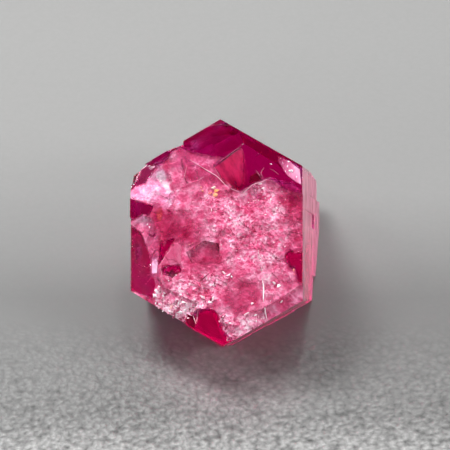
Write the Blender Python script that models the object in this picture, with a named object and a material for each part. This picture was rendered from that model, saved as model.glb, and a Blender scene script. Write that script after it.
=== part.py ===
"""A red beryl crystal, broken from its rock and resting on the flat break.

The crystal is a six-sided prism with a flat end, the termination. It is modelled in its own frame: the
c-axis is local Z, the termination lies in local z = 0, and the prism runs down local -Z. On the termination,
u is local X and v is local Y. An empty then leans the crystal forward, and the prism is cut off flat where it
grew on the rock, at world z = 0.
"""

import math

import bmesh
import bpy
from mathutils import Matrix, Vector, noise

MM = 0.001

# --- driving dimensions -----------------------------------------------------------------------------------

# How far each prism face is from the c-axis, by the direction it faces: 0 degrees is +u, 90 degrees is +v.
PRISM_FACES = {
    0: 4.00 * MM,
    60: 4.67 * MM,
    120: 4.50 * MM,
    180: 4.18 * MM,
    240: 4.43 * MM,
    300: 4.72 * MM,
}
AXIS_LENGTH = 8.2 * MM  # from the termination down the c-axis to the break
AXIS_RISE = math.radians(47)  # the c-axis above the horizontal
AXIS_YAW = math.radians(-11)  # the c-axis turned aside from straight ahead
AXIS_ROLL = math.radians(8)  # the prism turned about its own axis


BLANK = 60 * MM  # the block that the prism is cleaved from
PROUD = 1.0 * MM  # how far a cutter stands out of the surface that it cuts
CELL = 0.55 * MM  # the grid on a broken surface
TOUCHING = 1e-7  # points closer than this, in metres, are one point

# The termination is broken down to a rough floor. Three patches of the old end still stand above it: the
# clear crown at the top, the splinter beside it and the clear tongue at the bottom corner. Outlines are in
# millimetres, (u, v), and run past the prism wherever they follow its edge.
CROWN_EDGE = [
    (-1.58, 4.05), (-0.51, 3.72), (0.37, 3.53), (-0.14, 3.16), (0.47, 2.42), (1.07, 2.00),
    (1.67, 2.19), (2.14, 2.51), (2.65, 2.42), (3.16, 2.00), (5.00, 1.50),
]  # fmt: skip
TONGUE_EDGE = [
    (1.10, -6.00), (0.74, -4.98), (0.28, -4.50), (0.14, -3.95), (-0.09, -3.58), (-0.47, -3.50),
    (-0.93, -3.58), (-1.12, -3.86), (-1.40, -3.77), (-1.49, -6.00),
]  # fmt: skip
SPLINTER_EDGE = [(-3.12, 6.00), (-3.05, 3.22), (-2.62, 3.36), (-2.22, 3.74), (-2.30, 6.00)]

# Each break is a surface that lies depth under the termination at its hinge, and falls from there by so much
# for each unit along u and v. Its lumps are how far it rises and sinks from that slope.
BREAKS = {
    "floor": {
        "outline": [
            (-1.58, 6.0), *CROWN_EDGE, (5.0, -6.0), *TONGUE_EDGE, (-5.0, -6.0), (-5.0, 6.0), *SPLINTER_EDGE,
        ],  # fmt: skip
        "depth": 0.16 * MM,
        "lumps": 0.12 * MM,
        "seed": 4,
    },
    # the notch beside the crown, where a splinter is gone from the edge
    "notch": {
        "outline": [(-1.575, 6.0), (-1.575, 4.04), (-1.95, 3.85), (-2.32, 3.80), (-2.45, 6.0)],
        "depth": 0.10 * MM,
        "fall": (1.25, 0.20),
        "hinge": (-2.35, 3.80),
        "lumps": 0.04 * MM,
        "cell": 0.3 * MM,
        "seed": 2,
    },
    # the broken upper left corner
    "corner": {
        "outline": [
            (-2.60, 3.02), (-2.18, 2.70), (-2.02, 1.95), (-2.12, 1.50), (-2.40, 1.22), (-3.04, 1.41),
            (-5.00, 1.81), (-5.00, 3.30), (-3.05, 3.20),
        ],  # fmt: skip
        "depth": 0.30 * MM,
        "fall": (-0.15, 0.22),
        "hinge": (-2.20, 1.80),
        "lumps": 0.14 * MM,
        "cell": 0.42 * MM,
        "seed": 7,
    },
    # the window: a smooth hollow face between the corner and the ledge
    "window": {
        "outline": [(-3.02, 0.71), (-3.55, 0.84), (-5.00, 0.59), (-5.00, 1.82), (-3.04, 1.42), (-2.88, 1.05)],
        "depth": 0.20 * MM,
        "fall": (-0.24, 0.0),
        "hinge": (-2.90, 0.0),
        "cell": 2.0 * MM,
    },
    # the ledge down the left side: a cleaner face that falls away to the prism's edge
    "ledge": {
        "outline": [
            (-3.02, 0.71), (-3.55, 0.84), (-5.00, 0.59), (-5.00, -3.20), (-3.10, -2.95), (-2.58, -2.46),
            (-2.78, -1.49), (-2.70, -0.47),
        ],  # fmt: skip
        "depth": 0.34 * MM,
        "fall": (-0.34, 0.0),
        "hinge": (-2.85, 0.0),
        "lumps": 0.03 * MM,
        "cell": 0.9 * MM,
        "seed": 5,
    },
    # the crumbled rims along the two lower edges
    "rim_left": {
        "outline": [
            (-3.30, -2.85), (-2.60, -2.52), (-1.60, -2.95), (-0.90, -3.30), (-1.12, -3.72), (-1.40, -3.70),
            (-1.50, -6.0), (-5.0, -6.0), (-5.0, -3.10),
        ],  # fmt: skip
        "depth": 0.26 * MM,
        "fall": (-0.16, -0.28),
        "hinge": (-2.40, -2.80),
        "lumps": 0.13 * MM,
        "cell": 0.36 * MM,
        "seed": 11,
    },
    "rim_right": {
        "outline": [
            (0.35, -4.40), (0.75, -3.90), (1.50, -3.75), (2.30, -3.45), (3.20, -2.90), (4.20, -2.20),
            (5.0, -2.6), (5.0, -6.0), (0.80, -6.0), (0.80, -4.95),
        ],  # fmt: skip
        "depth": 0.22 * MM,
        "fall": (0.10, -0.17),
        "hinge": (1.50, -3.60),
        "lumps": 0.10 * MM,
        "cell": 0.40 * MM,
        "seed": 13,
    },
    # two hollows in the floor
    "pit_upper": {
        "outline": [
            (-0.60, -0.35), (0.10, -0.50), (0.15, -1.25), (-0.35, -1.50), (-1.20, -1.42), (-1.45, -0.90),
        ],  # fmt: skip
        "depth": 0.42 * MM,
        "lumps": 0.06 * MM,
        "cell": 0.45 * MM,
        "seed": 17,
    },
    "pit_lower": {
        "outline": [(-1.75, -1.45), (-1.72, -1.80), (-2.10, -2.10), (-2.45, -1.95), (-2.35, -1.50)],
        "depth": 0.52 * MM,
        "lumps": 0.05 * MM,
        "cell": 0.4 * MM,
        "seed": 19,
    },
}

# Growth steps: shallow strips let into a prism face. Across is where the strip lies along the termination's
# edge of that face, down is how far below the termination it starts and ends, both in millimetres. A strip
# starts at nothing and has its full depth where it ends.
STEPS = [
    {"face": 0, "across": (-3.4, -1.9), "down": (1.3, 12), "depth": 0.20 * MM},
    {"face": 0, "across": (0.4, 1.1), "down": (0.6, 6.1), "depth": 0.09 * MM},
    {"face": 0, "across": (1.9, 3.6), "down": (2.7, 12), "depth": 0.22 * MM},
    {"face": 60, "across": (-3.0, -1.2), "down": (3.4, 12), "depth": 0.22 * MM},
    {"face": 60, "across": (-0.3, 0.5), "down": (1.6, 7.4), "depth": 0.12 * MM},
    {"face": 60, "across": (1.3, 3.2), "down": (4.6, 12), "depth": 0.18 * MM},
    {"face": 120, "across": (-3.2, -1.5), "down": (2.4, 12), "depth": 0.20 * MM},
    {"face": 120, "across": (0.2, 1.5), "down": (4.4, 12), "depth": 0.15 * MM},
    {"face": 180, "across": (-3.4, -2.0), "down": (3.1, 12), "depth": 0.24 * MM},
    {"face": 180, "across": (-0.7, 0.3), "down": (1.9, 6.2), "depth": 0.10 * MM},
    {"face": 180, "across": (1.4, 3.6), "down": (2.8, 12), "depth": 0.16 * MM},
    {"face": 240, "across": (-0.9, 0.6), "down": (1.5, 12), "depth": 0.16 * MM},
    {"face": 300, "across": (-1.4, -0.5), "down": (1.2, 12), "depth": 0.14 * MM},
    {"face": 300, "across": (0.9, 3.2), "down": (2.1, 12), "depth": 0.20 * MM},
]
STEP_START = 1.1  # a strip's inner end stands this many depths out of its full depth, just clear of the face

# Chips along the prism's edges. Between is the two faces that meet there, down is how far below the
# termination the chip lies, reach is the chip's radius and bite how deep it goes in at the edge.
CHIPS = [
    {"between": (120, 180), "down": 0.75, "reach": 0.95, "bite": 0.42},
    {"between": (120, 180), "down": 4.90, "reach": 0.80, "bite": 0.22},
    {"between": (60, 120), "down": 3.40, "reach": 0.70, "bite": 0.18},
    {"between": (60, 120), "down": 7.60, "reach": 1.10, "bite": 0.34},
    {"between": (0, 60), "down": 5.70, "reach": 0.85, "bite": 0.20},
    {"between": (180, 240), "down": 3.10, "reach": 0.80, "bite": 0.26},
    {"between": (0, 300), "down": 3.50, "reach": 0.75, "bite": 0.18},
    {"between": (240, 300), "down": 2.35, "reach": 0.65, "bite": 0.24},
]

# Breaks at the far end: which way each faces, as a turn about the c-axis and a tilt from straight down it,
# and how far its surface is from the termination's centre.
FAR_BREAKS = [
    {"turn": 90, "tilt": 5, "out": 9.8 * MM, "seed": 31},
    {"turn": 62, "tilt": 38, "out": 10.0 * MM, "seed": 37},
    {"turn": 150, "tilt": 31, "out": 9.1 * MM, "seed": 41},
    {"turn": -5, "tilt": 36, "out": 9.8 * MM, "seed": 43},
]
FAR_LUMPS = 0.24 * MM
FAR_CELL = 0.8 * MM
FAR_BLOCK = 18 * MM  # the block whose upper face makes such a break


# --- helpers ----------------------------------------------------------------------------------------------


def clear_scene():
    for item in list(bpy.data.objects):
        bpy.data.objects.remove(item)


def new_collection(name):
    collection = bpy.data.collections.new(name)
    bpy.context.scene.collection.children.link(collection)
    return collection


def across_face(angle):
    """The direction that the prism face at this angle faces."""
    turn = math.radians(angle)
    return Vector((math.cos(turn), math.sin(turn), 0))


def cleave(bm, point, normal):
    """Takes off what lies beyond a plane, and closes the cut with one flat face."""
    everything = bm.verts[:] + bm.edges[:] + bm.faces[:]
    cut = bmesh.ops.bisect_plane(
        bm, geom=everything, dist=TOUCHING, plane_co=point, plane_no=normal, clear_outer=True
    )
    rim = [item for item in cut["geom_cut"] if isinstance(item, bmesh.types.BMEdge)]
    if rim:
        bmesh.ops.contextual_create(bm, geom=rim)


def mesh_object(name, bm, collection, parent):
    mesh = bpy.data.meshes.new(name)
    bmesh.ops.recalc_face_normals(bm, faces=bm.faces)
    bm.to_mesh(mesh)
    bm.free()
    item = bpy.data.objects.new(name, mesh)
    item.parent = parent
    collection.objects.link(item)
    return item


def outline_slab(outline):
    """A bmesh of a flat outline in millimetres, (u, v), standing from z = 0 up to PROUD."""
    curve = bpy.data.curves.new("outline", "CURVE")
    curve.dimensions = "2D"
    curve.fill_mode = "BOTH"
    curve.extrude = PROUD / 2
    spline = curve.splines.new("POLY")
    spline.points.add(len(outline) - 1)
    for point, (u, v) in zip(spline.points, outline):
        point.co = (u * MM, v * MM, 0, 1)
    spline.use_cyclic_u = True
    holder = bpy.data.objects.new("outline", curve)
    bpy.context.scene.collection.objects.link(holder)
    evaluated = holder.evaluated_get(bpy.context.evaluated_depsgraph_get())
    mesh = bpy.data.meshes.new_from_object(evaluated)
    bm = bmesh.new()
    bm.from_mesh(mesh)
    bmesh.ops.remove_doubles(bm, verts=bm.verts, dist=TOUCHING)
    bmesh.ops.translate(bm, verts=bm.verts, vec=(0, 0, PROUD / 2))
    bmesh.ops.recalc_face_normals(bm, faces=bm.faces)
    bpy.data.objects.remove(holder)
    bpy.data.curves.remove(curve)
    bpy.data.meshes.remove(mesh)
    return bm


def grid_lines(bm, faces, cell):
    """Cuts these level faces along a square grid, so that they have points to move."""
    for axis in (Vector((1, 0, 0)), Vector((0, 1, 0))):
        reach = [vert.co.dot(axis) for face in faces for vert in face.verts]
        for step in range(1, math.ceil((max(reach) - min(reach)) / cell)):
            geometry = set(faces)
            geometry.update(edge for face in faces for edge in face.edges)
            geometry.update(vert for face in faces for vert in face.verts)
            line = axis * (min(reach) + step * cell)
            cut = bmesh.ops.bisect_plane(
                bm, geom=list(geometry), dist=TOUCHING, plane_co=line, plane_no=axis
            )
            faces = [item for item in cut["geom"] if isinstance(item, bmesh.types.BMFace)]
    return faces


def broken_floor(outline, depth, fall=(0, 0), hinge=(0, 0), lumps=0.0, cell=CELL, seed=0):
    """A cutter with this outline, whose underside is a broken surface.

    The underside is depth below the termination at the hinge point, and falls from there by so much for each
    unit along u and along v. Lumps is how far its points rise and sink from that slope.
    """
    bm = outline_slab(outline)
    underside = [face for face in bm.faces if face.normal.z < -0.9]
    region = bmesh.ops.dissolve_faces(bm, faces=underside, use_verts=False)["region"]
    floor = grid_lines(bm, region, cell)
    for vert in {vert for face in floor for vert in face.verts}:
        u, v = vert.co.x, vert.co.y
        slope = fall[0] * (u - hinge[0] * MM) + fall[1] * (v - hinge[1] * MM)
        rise = noise.fractal(Vector((u, v, seed * MM)) / (1.3 * MM), 0.6, 2.0, 3)
        vert.co.z = -depth - max(slope, 0) + lumps * rise
    return bm


def growth_step(face, across, down, depth):
    """A cutter for a growth step: a block let into a prism face, deeper at its lower end."""
    size = Vector((PROUD + depth, (across[1] - across[0]) * MM, (down[1] - down[0]) * MM))
    middle = Vector((PRISM_FACES[face] + (PROUD - depth) / 2, sum(across) / 2 * MM, -sum(down) / 2 * MM))
    bm = bmesh.new()
    bmesh.ops.create_cube(bm, size=1.0)
    bmesh.ops.scale(bm, verts=bm.verts, vec=size)
    upper_inner = [vert for vert in bm.verts if vert.co.x < 0 and vert.co.z > 0]
    bmesh.ops.translate(bm, verts=upper_inner, vec=(STEP_START * depth, 0, 0))
    turn = Matrix.Rotation(math.radians(face), 4, "Z")
    bmesh.ops.transform(bm, matrix=turn @ Matrix.Translation(middle), verts=bm.verts)
    return bm


def edge_point(first, second):
    """Where the edge between two prism faces crosses the termination."""
    a, b = math.radians(first), math.radians(second)
    rows = Matrix(((math.cos(a), math.sin(a)), (math.cos(b), math.sin(b))))
    u, v = rows.inverted() @ Vector((PRISM_FACES[first], PRISM_FACES[second]))
    return Vector((u, v, 0))


def chip(between, down, reach, bite):
    """A cutter for a shell-shaped chip on the edge between two prism faces."""
    corner = edge_point(*between)
    middle = corner + corner.normalized() * (reach - bite) * MM - Vector((0, 0, down * MM))
    bm = bmesh.new()
    bmesh.ops.create_icosphere(bm, subdivisions=2, radius=reach * MM)
    bmesh.ops.transform(bm, matrix=Matrix.Translation(middle), verts=bm.verts)
    return bm


def far_break(turn, tilt, out, seed):
    """A cutter for the rough far end: a block whose upper face is broken."""
    bm = bmesh.new()
    bmesh.ops.create_cube(bm, size=FAR_BLOCK)
    bmesh.ops.translate(bm, verts=bm.verts, vec=(0, 0, -FAR_BLOCK / 2))
    upper = [face for face in bm.faces if face.normal.z > 0.9]
    for vert in {vert for face in grid_lines(bm, upper, FAR_CELL) for vert in face.verts}:
        vert.co.z = FAR_LUMPS * noise.fractal(Vector((*vert.co.xy, seed * MM)) / (2.2 * MM), 0.5, 2.0, 3)
    faces = Matrix.Rotation(math.radians(turn), 4, "Z") @ Matrix.Rotation(-math.radians(tilt), 4, "Y")
    place = faces @ Matrix.Translation((0, 0, -out))
    bmesh.ops.transform(bm, matrix=place, verts=bm.verts)
    return bm


# --- the crystal ------------------------------------------------------------------------------------------


def prism(to_local):
    """The six prism faces, the termination and the flat break, cleaved from one block."""
    bm = bmesh.new()
    bmesh.ops.create_cube(bm, size=BLANK)
    for angle, distance in PRISM_FACES.items():
        normal = across_face(angle)
        cleave(bm, normal * distance, normal)
    cleave(bm, Vector((0, 0, 0)), Vector((0, 0, 1)))
    ground = to_local @ Vector((0, 0, 0))
    down = (to_local.to_3x3() @ Vector((0, 0, -1))).normalized()
    cleave(bm, ground, down)
    return bm


def pose():
    """Where the crystal's own frame stands in the world."""
    lean = Matrix.Rotation(math.pi / 2 - AXIS_RISE, 4, "X")
    turn = Matrix.Rotation(AXIS_YAW, 4, "Z")
    roll = Matrix.Rotation(AXIS_ROLL, 4, "Z")
    return Matrix.Translation((0, 0, AXIS_LENGTH * math.sin(AXIS_RISE))) @ turn @ lean @ roll


def crystal_material():
    material = bpy.data.materials.new("red_beryl")
    material.use_nodes = True
    shader = material.node_tree.nodes["Principled BSDF"]
    shader.inputs["Base Color"].default_value = (0.62, 0.03, 0.16, 1)
    shader.inputs["Roughness"].default_value = 0.08
    shader.inputs["IOR"].default_value = 1.57
    shader.inputs["Transmission Weight"].default_value = 0.8
    shader.inputs["Metallic"].default_value = 0.0
    return material


def main():
    clear_scene()
    parts = new_collection("red_beryl_crystal")
    cutters = new_collection("cutters")
    frame = bpy.data.objects.new("crystal_frame", None)
    parts.objects.link(frame)
    frame.matrix_world = pose()

    crystal = mesh_object("crystal", prism(pose().inverted()), parts, frame)
    crystal.data.materials.append(crystal_material())

    def take(name, bm):
        cutter = mesh_object(name, bm, cutters, frame)
        cutter.hide_render = True
        cutter.display_type = "WIRE"
        modifier = crystal.modifiers.new(name, "BOOLEAN")
        modifier.operation = "DIFFERENCE"
        modifier.solver = "EXACT"
        modifier.object = cutter

    for number, step in enumerate(STEPS):
        take(f"growth_step_{number}", growth_step(**step))
    for number, place in enumerate(CHIPS):
        take(f"chip_{number}", chip(**place))
    for number, place in enumerate(FAR_BREAKS):
        take(f"far_break_{number}", far_break(**place))
    for name, shape in BREAKS.items():
        take(name, broken_floor(**shape))

    # stand it on the ground with the middle of its box at the origin
    bpy.context.view_layer.update()
    evaluated = crystal.evaluated_get(bpy.context.evaluated_depsgraph_get())
    corners = [crystal.matrix_world @ vert.co for vert in evaluated.data.vertices]
    middle = [(min(c[axis] for c in corners) + max(c[axis] for c in corners)) / 2 for axis in (0, 1)]
    frame.location.x -= middle[0]
    frame.location.y -= middle[1]
    bpy.context.view_layer.update()


main()
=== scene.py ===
# %% [markdown]
# # A red beryl crystal
# The real thing is a stubby six-sided crystal, a few millimetres across, which broke off its rock. One end
# faces us. That end was once flat, and most of it has crumbled down to a pale, frosty break. Where the old
# end is still whole, we look straight into clear crimson.
#
# The solid part of the model already has the right shape and size. This file gives it its surface, its
# colour and its inside.

# %% Load the measured model
import math
import random
from collections import namedtuple

import bmesh
import bpy
import numpy as np
from mathutils import Matrix, Vector, noise
from mathutils.bvhtree import BVHTree


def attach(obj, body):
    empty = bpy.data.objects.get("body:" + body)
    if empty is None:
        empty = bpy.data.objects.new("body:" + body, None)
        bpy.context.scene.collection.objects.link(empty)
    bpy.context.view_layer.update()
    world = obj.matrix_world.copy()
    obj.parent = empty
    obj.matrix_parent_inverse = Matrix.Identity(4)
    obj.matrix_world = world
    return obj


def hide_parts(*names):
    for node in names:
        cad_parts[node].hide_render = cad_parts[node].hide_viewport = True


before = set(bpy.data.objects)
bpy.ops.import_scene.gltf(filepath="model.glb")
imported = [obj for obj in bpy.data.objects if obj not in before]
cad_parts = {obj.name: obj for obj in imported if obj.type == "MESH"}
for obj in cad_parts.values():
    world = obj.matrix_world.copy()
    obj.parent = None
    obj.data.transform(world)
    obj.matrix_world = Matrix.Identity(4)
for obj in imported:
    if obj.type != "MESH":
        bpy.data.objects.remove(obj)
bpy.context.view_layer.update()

MM = 0.001
TINY = 1e-7  # a distance too small to matter, in metres
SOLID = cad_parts["crystal"]

# %% [markdown]
# ## The crystal's own directions
# A crystal is easiest to describe along its own axes: u runs right and v runs up on the broken end, and
# the long axis comes out of it. The same three angles that lean the solid give them here, and the highest
# point of the solid, its top corner, says where they start. Everything later is placed in these directions.

# %% The crystal's frame
AXIS_RISE = math.radians(47)
AXIS_YAW = math.radians(-11)
AXIS_ROLL = math.radians(8)
TOP_CORNER = Vector((0.196, 5.309, 0)) * MM  # the top corner of the end, in (u, v, axis)

TURN = (
    Matrix.Rotation(AXIS_YAW, 3, "Z")
    @ Matrix.Rotation(math.pi / 2 - AXIS_RISE, 3, "X")
    @ Matrix.Rotation(AXIS_ROLL, 3, "Z")
)
highest = max((vert.co for vert in SOLID.data.vertices), key=lambda co: co.z)
END_CENTRE = highest - TURN @ TOP_CORNER
TO_WORLD = Matrix.Translation(END_CENTRE) @ TURN.to_4x4()
TO_CRYSTAL = TO_WORLD.inverted()
OUT = TURN @ Vector((0, 0, 1))  # the way the broken end faces, in the world
print("centre of the end, mm:", [round(c / MM, 3) for c in END_CENTRE])

# %% [markdown]
# ## The camera
# The camera looks down at 45 degrees through a long lens, nearly square onto the broken end. A long lens
# keeps the prism's sides almost parallel.

# %% Camera
VIEW_PITCH = math.radians(45)
DISTANCE = 93 * MM
FOCAL_PIXELS = 2000
FRAME_PIXELS = 450
PIXEL = DISTANCE / FOCAL_PIXELS  # the size of a pixel where the crystal is
END_CENTRE_PIXEL = (216, 233)

back = Vector((0, -math.cos(VIEW_PITCH), math.sin(VIEW_PITCH)))
right = Vector((1, 0, 0))
up = back.cross(right)
aim = END_CENTRE + right * (FRAME_PIXELS / 2 - END_CENTRE_PIXEL[0]) * PIXEL
aim += up * (END_CENTRE_PIXEL[1] - FRAME_PIXELS / 2) * PIXEL

camera_data = bpy.data.cameras.new("camera")
camera_data.sensor_width = 36
camera_data.lens = FOCAL_PIXELS * camera_data.sensor_width / FRAME_PIXELS
camera_data.clip_start = 1 * MM
camera = bpy.data.objects.new("camera", camera_data)
camera.location = aim + back * DISTANCE
camera.rotation_mode = "QUATERNION"
camera.rotation_quaternion = back.to_track_quat("Z", "Y")
bpy.context.scene.collection.objects.link(camera)
bpy.context.scene.camera = camera
print("lens, mm:", round(camera_data.lens))

# %% [markdown]
# ## Helpers for node materials
# A Blender material is a small graph. These helpers add a node and wire its inputs in one line, so that
# each material below reads as a list of what it is made of.


# %% Material helpers
def new_material(name, **sockets):
    material = bpy.data.materials.new(name)
    material.use_nodes = True
    shader = material.node_tree.nodes["Principled BSDF"]
    for socket, value in sockets.items():
        shader.inputs[socket.replace("_", " ")].default_value = value
    return material, material.node_tree, shader


def node(tree, kind, inputs=None, **settings):
    made = tree.nodes.new(kind)
    for key, value in settings.items():
        setattr(made, key, value)
    for key, value in (inputs or {}).items():
        if isinstance(value, bpy.types.NodeSocket):
            tree.links.new(value, made.inputs[key])
        else:
            made.inputs[key].default_value = value
    return made


def object_place(tree):
    return node(tree, "ShaderNodeTexCoord").outputs["Object"]


# %% Helpers for sums, ranges and colours
def calculate(tree, operation, *values, clamp=False):
    inputs = dict(enumerate(values))
    return node(tree, "ShaderNodeMath", inputs, operation=operation, use_clamp=clamp).outputs[0]


def calculate_vector(tree, operation, *values):
    return node(tree, "ShaderNodeVectorMath", dict(enumerate(values)), operation=operation).outputs


def spread(tree, value, start, end, first=0.0, last=1.0, **settings):
    """The value's range from start to end, spread over the range from first to last."""
    inputs = {"Value": value, "From Min": start, "From Max": end, "To Min": first, "To Max": last}
    return node(tree, "ShaderNodeMapRange", inputs, **settings).outputs["Result"]


def clouds(tree, place, size, detail):
    """Soft noise, in clouds of about this size."""
    return node(tree, "ShaderNodeTexNoise", {"Vector": place, "Scale": 1 / size, "Detail": detail}).outputs


def multiplied(tree, share, colour, dye):
    """The colour multiplied by the dye, as far as the share says."""
    inputs = {"Factor": share, "A": colour, "B": dye}
    return node(tree, "ShaderNodeMix", inputs, data_type="RGBA", blend_type="MULTIPLY").outputs["Result"]


def ramp(tree, value, stops):
    made = node(tree, "ShaderNodeValToRGB", {"Fac": value})
    elements = made.color_ramp.elements
    while len(elements) < len(stops):
        elements.new(0.5)
    for element, (place, colour) in zip(elements, stops):
        element.position = place
        element.color = (*colour, 1)
    return made.outputs["Color"]


# %% [markdown]
# ## A finished piece
# Each piece is shaped in the crystal's own directions, because they make its places simple. At the end it
# is turned into the world, and its object stays at the origin. It is part of one grown crystal, so it rides
# on the crystal's body and shares its slot.


# %% Finish a piece
def piece(name, bm, material):
    """Makes a finished piece from a bmesh in the crystal's frame, and rides it on the crystal."""
    bmesh.ops.transform(bm, matrix=TO_WORLD, verts=bm.verts)
    mesh = bpy.data.meshes.new(name)
    bm.to_mesh(mesh)
    bm.free()
    made = bpy.data.objects.new(name, mesh)
    mesh.materials.append(material)
    bpy.context.scene.collection.objects.link(made)
    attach(made, "root")
    print(name, len(mesh.polygons), "faces")
    return made


# %% [markdown]
# ## Regions of the broken end
# No two places on the break look alike. Here it is crumbled like sugar, there it is a clear hollow face.
# So the end is described by a list of named regions, laid over each other in order. Each has an outline
# with soft, ragged edges, and says how much frost covers it, how pale the frost is, how grainy the surface
# is, and how violet the colour turns. The relief and the materials below all read the same regions.

# %% Regions
Region = namedtuple("Region", "looks soft rag outline")
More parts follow.
